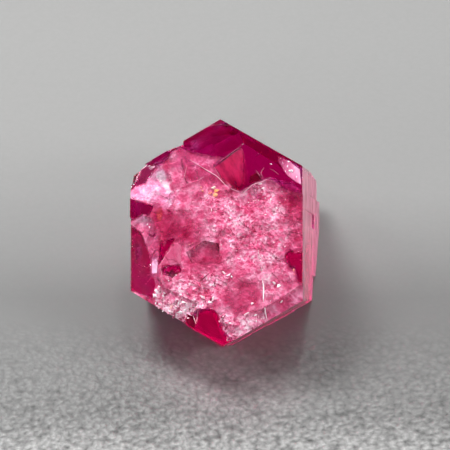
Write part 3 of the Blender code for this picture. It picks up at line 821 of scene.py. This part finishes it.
# %% Crack lines
LINES = {
    # name: (half width in mm, height over the skin in mm, cover, pale, places)
    "long white edge": (0.022, 0.02, 0.85, 0.80, [
        (-1.26, 3.44), (-0.46, 2.93), (0.05, 2.65), (0.33, 2.33), (0.65, 2.05), (1.23, 1.86),
    ]),
    "flake edge upper": (0.020, -0.03, 0.9, 0.80, [(1.22, 4.07), (0.84, 3.81), (0.42, 3.53), (-0.12, 3.14)]),
    "flake edge lower": (0.016, -0.03, 0.8, 0.58, [(1.19, 3.95), (0.79, 3.70), (0.42, 3.42), (-0.05, 3.07)]),
    "flake edge dark": (0.016, -0.04, 0.8, 0.10, [(1.16, 4.00), (0.81, 3.75), (0.42, 3.48), (-0.07, 3.10)]),
    "flake left edge": (0.022, 0.02, 0.9, 0.7, [(-0.12, 3.12), (0.00, 2.93), (0.14, 2.67)]),
    "crown arc": (0.020, -0.05, 0.7, 0.60, [
        (-0.44, 4.95), (-0.19, 5.03), (0.09, 5.06), (0.37, 5.05), (0.63, 5.00),
    ]),
    "crown spur": (0.020, -0.10, 0.6, 0.50, [(1.86, 3.58), (2.00, 3.70), (2.16, 3.77)]),
    "dark slit": (0.030, 0.02, 1.0, 0.10, [(0.35, 2.36), (0.51, 2.21), (0.72, 2.07)]),
    "dark line": (0.022, 0.02, 0.8, 0.25, [(-1.02, 3.23), (-0.79, 3.14), (-0.51, 2.93), (-0.23, 2.77)]),
    "crack top": (0.026, 0.03, 0.9, 0.82, [(1.86, -0.33), (2.00, -1.02), (2.14, -1.72), (2.16, -2.19)]),
    "crack middle": (0.036, 0.03, 1.0, 1.0, [(2.16, -2.19), (2.23, -2.51), (2.21, -2.84), (2.21, -3.12)]),
    "crack low": (0.032, 0.04, 1.0, 0.95, [(2.21, -3.12), (2.26, -3.49), (2.28, -3.72), (2.35, -4.02)]),
    "curl one": (0.015, 0.0, 0.8, 0.65, [(1.86, 2.93), (1.98, 2.74), (2.07, 2.60), (2.14, 2.44)]),
    "curl two": (0.015, 0.0, 0.8, 0.65, [(2.26, 3.02), (2.12, 2.88), (2.09, 2.70), (2.21, 2.56)]),
    "curl three": (0.014, 0.0, 0.7, 0.6, [(2.51, 2.98), (2.74, 2.88), (2.93, 2.70)]),
    "tip edge": (0.028, 0.02, 1.0, 0.85, [
        (1.26, 1.86), (1.53, 2.14), (1.77, 2.28), (2.14, 2.37), (2.56, 2.58),
    ]),
    "spike one": (0.024, 0.02, 1.0, 0.9, [(-1.12, -3.72), (-1.00, -4.00), (-0.93, -4.23)]),
    "spike two": (0.022, 0.02, 1.0, 0.85, [(-0.84, -3.53), (-0.88, -3.86), (-0.89, -4.14)]),
    "rim slit": (0.028, 0.03, 1.0, 0.08, [(-0.26, -3.25), (-0.14, -3.17), (0.01, -3.11)]),
    "black crack one": (0.022, 0.03, 0.9, 0.12, [
        (-0.81, -2.28), (-0.65, -2.16), (-0.51, -2.00), (-0.33, -1.88),
    ]),
    "black crack two": (0.020, 0.03, 0.9, 0.12, [
        (-0.23, -2.51), (-0.12, -2.44), (-0.07, -2.23), (-0.02, -2.09),
    ]),
    "left slit one": (0.035, 0.02, 0.9, 0.10, [(-1.63, 3.49), (-1.65, 3.25), (-1.56, 2.98)]),
    "left slit two": (0.030, 0.02, 0.9, 0.12, [(-1.51, 2.65), (-1.46, 2.46), (-1.37, 2.33)]),
    "left stroke": (0.022, 0.02, 0.8, 0.75, [(-1.40, 3.16), (-1.49, 2.84), (-1.53, 2.56)]),
    "stroke one": (0.022, 0.02, 0.8, 0.72, [(-0.93, 2.42), (-0.77, 2.53), (-0.60, 2.63)]),
    "triangle edge": (0.022, 0.02, 0.9, 0.72, [
        (-2.67, -1.51), (-2.46, -1.16), (-2.23, -0.86), (-1.91, -0.56),
    ]),
    "patch left edge": (0.020, 0.02, 0.9, 0.62, [
        (-2.67, -1.44), (-2.60, -1.77), (-2.51, -2.19), (-2.39, -2.65),
    ]),
    "chip rim": (0.035, 0.02, 0.9, 0.78, [
        (-3.98, 2.46), (-3.91, 2.74), (-3.77, 2.95), (-3.53, 3.14), (-3.39, 3.23),
    ]),
}  # fmt: skip
LINE_TIP = 0.35  # how thick a line's two ends are, against its middle


def line_mesh(half_width, rise, cover, pale, places):
    """A crack's edge: a thin four-sided tube, which thins out towards both ends."""
    curve = bpy.data.curves.new("line", "CURVE")
    curve.dimensions = "3D"
    curve.bevel_depth = MM
    curve.bevel_resolution = 0
    curve.resolution_u = 6
    curve.use_fill_caps = True
    spline = curve.splines.new("NURBS")
    spline.points.add(len(places) - 1)
    spline.order_u = 3
    spline.use_endpoint_u = True
    for number, (point, (u, v)) in enumerate(zip(spline.points, places)):
        point.co = (u * MM, v * MM, (surface(u, v) or 0) + rise * MM, 1)
        point.radius = half_width * (LINE_TIP if number in (0, len(places) - 1) else 1.0)
    holder = bpy.data.objects.new("line", curve)
    mesh = holder.to_mesh()
    colour = mesh.attributes.new("looks", "FLOAT_COLOR", "POINT")
    for value in colour.data:
        value.color = (cover, pale, 0, 0)
    line = bmesh.new()
    line.from_mesh(mesh)
    bpy.data.objects.remove(holder)
    bpy.data.curves.remove(curve)
    return line


def joined(parts):
    """One bmesh with the geometry of all the parts."""
    whole = bmesh.new()
    for part in parts:
        mesh = bpy.data.meshes.new("part")
        part.to_mesh(mesh)
        part.free()
        whole.from_mesh(mesh)
        bpy.data.meshes.remove(mesh)
    return whole


piece("crack_lines", joined([line_mesh(*line) for line in LINES.values()]), MARKS)

# %% Crumbs and glints
CRUMB_FIELDS = {
    # region: (how many, smallest and largest radius in mm, darkest and palest)
    "white rim": (110, (0.03, 0.14), (0.2, 1.0)),
    "right rim": (60, (0.03, 0.12), (0.2, 1.0)),
    "lower grains": (60, (0.02, 0.07), (0.2, 1.0)),
    "upper right grains": (60, (0.02, 0.08), (0.3, 1.0)),
    "centre band": (110, (0.02, 0.07), (0.3, 1.0)),
    "corner patch": (12, (0.02, 0.06), (0.6, 1.0)),
    "pale corner": (25, (0.02, 0.07), (0.5, 1.0)),
}
# painted highlight in part: these chips are made pale where the break glints, so their colour stands for the
# glints too
GLINTS = [
    # (place, radius in mm, pale, violet)
    ((-2.95, -2.88), 0.14, 1.0, 0.1), ((-2.86, -2.70), 0.13, 1.0, 0.1), ((-2.74, -2.51), 0.10, 1.0, 0.1),
    ((-2.56, -2.93), 0.12, 1.0, 0.0), ((-2.49, -2.79), 0.08, 0.95, 0.0), ((-2.91, -3.25), 0.07, 1.0, 0.0),
    ((-2.56, -3.60), 0.09, 1.0, 0.0), ((-1.81, -3.25), 0.12, 1.0, 0.0), ((-1.58, -3.21), 0.12, 1.0, 0.0),
    ((-1.72, -3.65), 0.13, 1.0, 0.0), ((-1.49, -3.58), 0.11, 1.0, 0.0), ((-1.44, -3.86), 0.07, 1.0, 0.0),
    ((-1.91, -3.91), 0.10, 0.95, 0.0), ((-0.16, -3.07), 0.12, 1.0, 0.0), ((0.37, -1.84), 0.08, 1.0, 0.0),
    ((0.60, -1.95), 0.09, 1.0, 0.1), ((0.74, -2.02), 0.07, 1.0, 0.1), ((2.72, -2.33), 0.11, 1.0, 0.0),
    ((2.93, -2.44), 0.10, 1.0, 0.0), ((3.02, -3.19), 0.08, 0.95, 0.0), ((1.70, -3.25), 0.11, 0.9, 0.0),
    ((1.84, -3.79), 0.08, 1.0, 0.0), ((0.63, -4.18), 0.07, 1.0, 0.0), ((1.86, -4.09), 0.07, 1.0, 0.0),
    ((2.05, 2.28), 0.09, 1.0, 0.0), ((2.16, 2.09), 0.09, 1.0, 0.0), ((3.39, 3.30), 0.07, 1.0, 0.1),
    ((3.46, 2.86), 0.08, 1.0, 0.0), ((2.58, 3.19), 0.05, 1.0, 0.0), ((1.25, 4.12), 0.05, 1.0, 0.0),
    ((-0.14, 2.12), 0.13, 1.0, -0.35), ((0.00, 1.98), 0.12, 0.95, -0.9), ((-0.05, 1.79), 0.13, 0.95, -0.8),
    ((-0.28, 1.86), 0.10, 0.75, -0.7), ((-0.65, 1.98), 0.08, 0.85, -0.7), ((-0.72, 2.14), 0.06, 0.8, -0.6),
    ((3.63, -1.72), 0.07, 0.85, -0.7), ((3.65, -1.91), 0.05, 0.8, -0.5), ((-1.30, -0.53), 0.05, 0.85, -0.6),
    ((-1.12, -0.46), 0.05, 0.85, -0.6), ((-0.88, -0.58), 0.05, 0.8, -0.5), ((-0.70, -0.46), 0.05, 0.8, -0.5),
    ((-2.16, -3.44), 0.10, 0.85, -0.35), ((3.12, 3.25), 0.05, 0.95, 0.1), ((3.35, 3.09), 0.06, 1.0, 0.1),
    ((3.53, 2.91), 0.08, 1.0, 0.1), ((3.67, 3.02), 0.05, 0.95, 0.1), ((3.25, 2.84), 0.06, 0.95, 0.1),
    ((3.44, 2.65), 0.05, 1.0, 0.1), ((3.77, 2.60), 0.05, 0.95, 0.1), ((3.02, 3.44), 0.05, 0.9, 0.1),
    ((2.81, 1.16), 0.05, 1.0, 0.0), ((1.51, 1.42), 0.05, 1.0, 0.0), ((2.60, -0.60), 0.05, 1.0, 0.0),
    ((-3.32, 0.42), 0.09, 0.95, 0.1), ((-3.21, 0.30), 0.08, 0.9, 0.1), ((-3.70, -1.79), 0.03, 0.9, 0.2),
    ((-2.81, 2.70), 0.10, 1.0, 0.0), ((-2.67, 2.46), 0.10, 1.0, 0.0),
]  # fmt: skip

# %% Scatter the crumbs
CRUMB_POINTS = 9  # a crumb is the hull round this many points
CRUMB_STRETCH = ((0.8, 1.7), (0.5, 1.0), (0.4, 0.9))  # least and most, in each direction
CRUMB_LEAN = 0.5  # how far a crumb may lean either way, in radians
CRUMB_RISE, GLINT_RISE = 0.2, 0.3  # how high their middles lie over the skin, in radii
RIM_GAP = 0.03  # how far a crumb stays inside its region's outline, in mm


def crumb(place, radius, rise, looks):
    """A chip: a small lump with flat sides, flattened and turned any way."""
    bm = bmesh.new()
    layer = bm.verts.layers.float_color.new("looks")
    for _ in range(CRUMB_POINTS):
        spot = Vector([chance.gauss(0, 1) for _ in range(3)]).normalized() * radius * chance.uniform(0.7, 1.1)
        bmesh.ops.create_vert(bm, co=spot)
    hull = bmesh.ops.convex_hull(bm, input=bm.verts)
    bmesh.ops.delete(bm, geom=list({*hull["geom_interior"], *hull["geom_unused"]}), context="VERTS")
    for vert in bm.verts:
        vert[layer] = looks
    bmesh.ops.scale(bm, verts=bm.verts, vec=[chance.uniform(*span) for span in CRUMB_STRETCH])
    turned = Matrix.Rotation(chance.uniform(0, math.tau), 3, "Z")
    leaning = Matrix.Rotation(chance.uniform(-CRUMB_LEAN, CRUMB_LEAN), 3, "X")
    bmesh.ops.rotate(bm, verts=bm.verts, matrix=turned @ leaning)
    bmesh.ops.translate(bm, verts=bm.verts, vec=(*(Vector(place) * MM), surface(*place) + rise))
    return bm


chance = random.Random(7)
crumbs = []
for name, (count, sizes, pales) in CRUMB_FIELDS.items():
    outline = REGIONS[name].outline
    us, vs = zip(*outline)
    while count:
        place = (chance.uniform(min(us), max(us)), chance.uniform(min(vs), max(vs)))
        deep = inside_distance(np.array([place[0]]), np.array([place[1]]), outline)[0]
        if deep > RIM_GAP and surface(*place) is not None:
            radius = sizes[0] + (sizes[1] - sizes[0]) * chance.random() ** 2
            looks = (1, chance.uniform(*pales), 0, 0)
            crumbs.append(crumb(place, radius * MM, CRUMB_RISE * radius * MM, looks))
            count -= 1
for place, radius, pale, violet in GLINTS:
    if surface(*place) is not None:
        crumbs.append(crumb(place, radius * MM, GLINT_RISE * radius * MM, (1, pale, 0, violet)))
print(len(crumbs), "crumbs")
piece("crumbs", joined(crumbs), MARKS)

# %% [markdown]
# ## Flakes
# A crack that has not opened shows as a thin silky sheet inside the clear crystal. Each sheet here is one
# flat outline. Its corners say how high it lies over the skin, how thick, how pale and how violet it is,
# and the values blend evenly over the sheet as it is cut finer. A few lie on the skin instead, where the
# break has a smooth silky face, and the pale one on the ledge is a painted highlight where the ledge gleams.
# Three dark sheets, one at the crown's lower edge and two under the tongue, are painted shade: they darken
# the clear red. The two under the polished old end have a purer red of their own, since so much clear
# crimson lies around them.

# %% Flakes
FLAKES = {
    # each corner: (place, height over the skin in mm, cover, pale, violet)
    "flake_left": [
        ((1.21, 3.95), -0.04, 1.0, 0.60, 0), ((0.56, 3.53), -0.04, 0.9, 0.40, 0),
        ((-0.09, 3.09), -0.05, 0.9, 0.38, 0), ((0.23, 2.42), -0.10, 0.8, 0.32, 0),
        ((0.98, 2.00), -0.25, 0.6, 0.22, 0), ((1.02, 2.93), -0.15, 0.9, 0.36, 0),
    ],
    "flake_right": [
        ((1.21, 3.95), -0.04, 1.0, 0.60, 0), ((1.02, 2.93), -0.15, 0.9, 0.36, 0),
        ((0.98, 2.00), -0.25, 0.6, 0.22, 0), ((1.58, 2.37), -0.35, 0.0, 0.2, 0),
        ((1.40, 3.39), -0.15, 0.0, 0.3, 0),
    ],
    # painted shade: a dark sheet that darkens the clear red at the crown's lower edge
    "painted_shade_nest": [
        ((1.53, 2.33), -0.10, 0.9, -1.0, 0), ((1.60, 2.65), -0.10, 0.85, -1.0, 0),
        ((1.86, 2.81), -0.10, 0.8, -1.0, 0), ((2.12, 2.65), -0.10, 0.85, -1.0, 0),
        ((2.05, 2.44), -0.10, 0.9, -1.0, 0),
    ],
    "corner_patch": [
        ((3.16, 2.93), 0.012, 0.5, 0.62, 0.1), ((2.93, 3.30), 0.012, 0.1, 0.5, 0.1),
        ((2.88, 3.58), 0.012, 0.1, 0.5, 0.1), ((3.49, 3.25), 0.012, 0.8, 0.72, 0.1),
        ((3.91, 2.93), 0.012, 1.0, 0.82, 0.1), ((3.98, 2.23), 0.012, 0.8, 0.72, 0.15),
        ((3.72, 2.37), 0.012, 0.8, 0.7, 0.15), ((3.35, 2.65), 0.012, 0.9, 0.66, 0.15),
    ],
    # painted shade: a dark sheet that darkens the tongue's clear red on its left
    "tongue_painted_shade_left": [
        ((-1.58, -3.91), -0.08, 0.95, -0.8, 0), ((-1.26, -3.70), -0.08, 0.95, -0.8, 0),
        ((-0.98, -3.91), -0.12, 0.9, -0.7, 0), ((-1.00, -4.46), -0.15, 0.8, -0.5, 0),
        ((-1.30, -4.28), -0.08, 0.9, -0.6, 0),
    ],
    # painted shade: a wider, fainter dark sheet that darkens the rest of the tongue
    "tongue_painted_shade_wide": [
        ((-0.93, -3.77), -0.3, 0.25, -0.6, 0), ((-0.19, -3.67), -0.3, 0.25, -0.6, 0),
        ((0.05, -4.28), -0.3, 0.30, -0.5, 0), ((0.28, -4.93), -0.3, 0.25, -0.4, 0),
        ((-0.37, -4.79), -0.3, 0.25, -0.4, 0), ((-0.93, -4.42), -0.3, 0.25, -0.5, 0),
    ],
    "stain": [
        ((-2.84, 1.12), 0.02, 0.0, 0.5, -0.8), ((-2.60, 1.21), 0.02, 0.3, 0.5, -0.8),
        ((-2.56, 0.88), 0.02, 0.5, 0.5, -0.7), ((-2.65, 0.51), 0.02, 0.0, 0.45, -0.6),
        ((-2.81, 0.70), 0.02, 0.45, 0.5, -0.7),
    ],
    # painted highlight: a pale film on the ledge, which stands for a bright lavender gleam there
    "ledge_painted_highlight": [
        ((-3.05, -1.07), 0.015, 0.0, 0.7, 0.3), ((-2.81, -1.07), 0.015, 0.0, 0.7, 0.3),
        ((-2.80, -1.44), 0.015, 1, 0.95, 0.2), ((-2.84, -1.86), 0.015, 1.0, 0.9, 0.2),
        ((-3.08, -1.86), 0.015, 0.9, 0.85, 0.2), ((-3.08, -1.44), 0.015, 0.9, 0.9, 0.2),
    ],
    "left_face": [
        ((-2.67, -1.51), 0.03, 0.8, 0.50, 0), ((-2.37, -1.05), 0.03, 0.7, 0.48, 0),
        ((-1.91, -0.49), 0.03, 0.6, 0.48, 0), ((-1.63, -0.60), 0.03, 0.4, 0.56, 0),
        ((-1.65, -1.07), 0.03, 0.3, 0.54, 0), ((-1.67, -1.35), 0.03, 0.5, 0.56, 0),
        ((-2.09, -1.37), 0.03, 0.8, 0.58, 0),
    ],
}  # fmt: skip

# %% Lay the flakes
CROWN_FLAKES = ("flake_left", "flake_right")  # the two under the polished old end
FLAKE_CUTS = 5  # how often every edge of a flake is cut in half


def silk(u, v):
    """Fine streaks that run down a flake, from about -1 to 1."""
    return noise.fractal(Vector((u * 2.6 + v, v * 1.2, 2)), 0.6, 2, 4)


for name, corners in FLAKES.items():
    bm = bmesh.new()
    layer = bm.verts.layers.float_color.new("looks")
    verts = []
    for place, rise, cover, pale, violet in corners:
        verts.append(bm.verts.new((*(Vector(place) * MM), surface(*place) + rise * MM)))
        verts[-1][layer] = (cover, pale, 0, violet)
    bm.faces.new(verts)
    bmesh.ops.triangulate(bm, faces=bm.faces)
    for _ in range(FLAKE_CUTS):
        bmesh.ops.subdivide_edges(bm, edges=bm.edges, cuts=1, use_grid_fill=True)
    over_skin = corners[0][1]
    for vert in bm.verts:
        u, v = vert.co.x / MM, vert.co.y / MM
        if over_skin > 0:
            vert.co.z = (surface(u, v) or vert.co.z) + over_skin * MM
        streak = silk(u, v)
        cover, pale, grain, violet = vert[layer]
        vert[layer] = (max(0, cover * (1 + 0.4 * streak)), pale + 0.12 * streak, grain, violet)
    bmesh.ops.solidify(bm, geom=bm.faces[:], thickness=SHEET_THICKNESS)
    bmesh.ops.recalc_face_normals(bm, faces=bm.faces)
    piece(name, bm, SILK if name in CROWN_FLAKES else FLAKE)

# %% [markdown]
# ## The floor
# The crystal lies on a plain pale sheet, and a flat plane is all that its shape needs. Its finish is a fine
# leathery grain, which shows close to us and fades out towards the crystal. Its tone is painted light and
# shade: it is darkest around the crystal, where the crystal shades the sheet, and goes gently lighter in
# front of it and far behind it. A faint rosy patch stands for the red light that the stone throws on the
# sheet. A render would need very long to find that light's way through the glass, so the patch is part of
# the sheet's colour.

# %% Floor material
# painted light and shade: the sheet's grey is darkest around the crystal, where the crystal shades it
SHADED_TONES = [  # how grey the sheet is, from in front of the crystal to far behind it
    (0.0, 0.258), (0.1, 0.134), (0.25, 0.110), (0.35, 0.108), (0.45, 0.152), (0.6, 0.188), (1.0, 0.200),
]  # fmt: skip
NEAREST_TONE, FARTHEST_TONE = -12 * MM, 18 * MM
GRAIN_FROM, GRAIN_FULL = -3 * MM, -10 * MM  # where the sheet's grain begins and where it is full
PEBBLE, GRIT = 0.25 * MM, 0.2 * MM  # the sizes of its coarse and its fine grain
RELIEF = 0.10 * MM
ROSY_PLACE, ROSY_TINT = (0.2 * MM, -6 * MM, 0), (1.45, 1.25, 1.30, 1)
ROSY_INNER, ROSY_OUTER = 0.5 * MM, 5 * MM


def leather_grain(tree, place):
    """Pebbles and finer grit, as on embossed paper."""
    wide = calculate_vector(tree, "MULTIPLY", place, (0.85, 1, 1))["Vector"]
    inputs = {"Vector": wide, "Scale": 1 / PEBBLE, "Smoothness": 0.5}
    pebbles = node(tree, "ShaderNodeTexVoronoi", inputs, feature="SMOOTH_F1").outputs["Distance"]
    grit = calculate(tree, "MULTIPLY", clouds(tree, wide, GRIT, 3)["Fac"], 1.1)
    return calculate(tree, "SUBTRACT", grit, pebbles)


def floor_material():
    material, tree, shader = new_material("floor", Roughness=0.55)
    place = object_place(tree)
    depth = node(tree, "ShaderNodeSeparateXYZ", {"Vector": place}).outputs["Y"]
    far = spread(tree, depth, NEAREST_TONE, FARTHEST_TONE)
    # painted light and shade: the sheet's grey, darkest around the crystal
    tone = ramp(tree, far, [(stop, (grey, grey, 0.985 * grey)) for stop, grey in SHADED_TONES])

    near = spread(tree, depth, GRAIN_FROM, GRAIN_FULL, 0.03, 1.0)
    leather = leather_grain(tree, place)
    mottle = calculate(tree, "MULTIPLY_ADD", leather, 1.3, 1.0)
    inputs = {"Factor": near, "A": (1, 1, 1, 1), "B": mottle}
    mottled = node(tree, "ShaderNodeMix", inputs, data_type="RGBA").outputs["Result"]
    tone = multiplied(tree, 1.0, tone, mottled)

    from_red = calculate_vector(tree, "DISTANCE", place, ROSY_PLACE)["Value"]
    rosy = spread(tree, from_red, ROSY_INNER, ROSY_OUTER, 1, 0, interpolation_type="SMOOTHSTEP")
    tree.links.new(multiplied(tree, rosy, tone, ROSY_TINT), shader.inputs["Base Color"])
    bump = node(tree, "ShaderNodeBump", {"Height": leather, "Strength": near, "Distance": RELIEF})
    tree.links.new(bump.outputs["Normal"], shader.inputs["Normal"])
    return material


# %% Floor
FLOOR_GAP = 0.02 * MM  # the sheet lies just under the crystal, so that the two skins never share a plane
FLOOR_HALF = 0.6  # half the sheet's width, in metres

bm = bmesh.new()
bmesh.ops.create_grid(bm, x_segments=1, y_segments=1, size=FLOOR_HALF)
bmesh.ops.translate(bm, verts=bm.verts, vec=(0, 0, -FLOOR_GAP))
floor_mesh = bpy.data.meshes.new("floor")
bm.to_mesh(floor_mesh)
bm.free()
floor_mesh.materials.append(floor_material())
floor = bpy.data.objects.new("floor", floor_mesh)
bpy.context.scene.collection.objects.link(floor)

# %% [markdown]
# ## The light
# Large soft lights come from above, behind and both sides, and three small ones make the grains glint. The
# room is dark where the old end of the crystal would mirror it, or a grey veil would lie over the red.

# %% Lights
LIT_POINT = Vector((0, 0, 4)) * MM  # the middle of the crystal, which every light faces
LIGHTS = {
    # name: (place in mm, size in mm, power in watts)
    "key": ((-45, 50, 115), (50, 40), 0.18),
    "back": ((50, 115, 90), (120, 60), 0.09),
    "left": ((-120, 45, 25), (40, 30), 0.13),
    "right": ((110, -40, 70), (40, 30), 0.10),
    "glint top": ((10, 20, 120), (12, 12), 0.03),
    "glint front": ((-60, -105, 20), (14, 8), 0.035),
    "glint upper left": ((-75, -15, 98), (14, 14), 0.02),
}

for name, (place, size, power) in LIGHTS.items():
    light = bpy.data.lights.new(name, "AREA")
    light.shape = "RECTANGLE"
    light.size, light.size_y = size[0] * MM, size[1] * MM
    light.energy = power
    made = bpy.data.objects.new(name, light)
    made.location = Vector(place) * MM
    made.rotation_mode = "QUATERNION"
    made.rotation_quaternion = (made.location - LIT_POINT).to_track_quat("Z", "Y")
    bpy.context.scene.collection.objects.link(made)
print(len(LIGHTS), "lights")

# %% Room
ROOM_STRENGTH = 0.35
MIRRORED = -back.reflect(OUT)  # the way that the old end mirrors to the camera
ROOM_COLOURS = [
    (0.0, (1.0, 1.0, 1.0)), (0.6, (0.8, 0.8, 0.82)), (0.85, (0.1, 0.1, 0.1)), (1.0, (0.01, 0.01, 0.01)),
]  # fmt: skip

world = bpy.data.worlds.new("studio")
world.use_nodes = True
tree = world.node_tree
way = node(tree, "ShaderNodeTexCoord").outputs["Generated"]
facing = calculate_vector(tree, "DOT_PRODUCT", way, MIRRORED)["Value"]
tree.links.new(ramp(tree, facing, ROOM_COLOURS), tree.nodes["Background"].inputs["Color"])
tree.nodes["Background"].inputs["Strength"].default_value = ROOM_STRENGTH

scene = bpy.context.scene
scene.world = world
scene.view_settings.view_transform = "Standard"
scene.cycles.max_bounces = 24
scene.cycles.transmission_bounces = 24
scene.cycles.glossy_bounces = 12
scene.cycles.diffuse_bounces = 10
